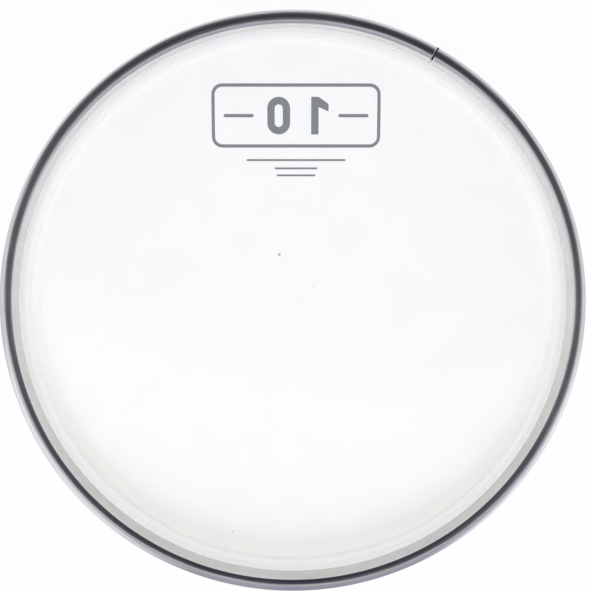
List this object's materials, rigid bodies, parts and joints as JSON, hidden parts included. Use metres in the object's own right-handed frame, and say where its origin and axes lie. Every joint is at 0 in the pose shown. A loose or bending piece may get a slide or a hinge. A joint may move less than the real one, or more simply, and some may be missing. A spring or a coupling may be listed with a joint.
{
  "type": "drum head",
  "caption": "Shallow round drum head: clear film with a white coated playing face and a bent collar, its rim cast into an aluminium channel hoop that slips over a drum shell.",
  "frame": {"origin": "middle of the playing face, on the surface that the head lies on", "axes": "+Z out through the open side of the head along the drum's axis, with the playing face down; +X to the right and +Y to the top as the picture shows it"},
  "size_m": [0.2636, 0.2636, 0.019],
  "materials": {
    "hoop_aluminium": "rolled, bright",
    "weld_aluminium": "dressed weld",
    "clear_film": "clear, glossy",
    "cast_resin": "cast, translucent amber",
    "white_coating": "sprayed, lightly textured"
  },
  "bodies": {
    "root": {"hoop_channel": "hoop_aluminium", "seam_weld": "weld_aluminium", "membrane_film": "clear_film", "resin_lock": "cast_resin", "batter_coating": "white_coating"}
  },
  "joints": []
}
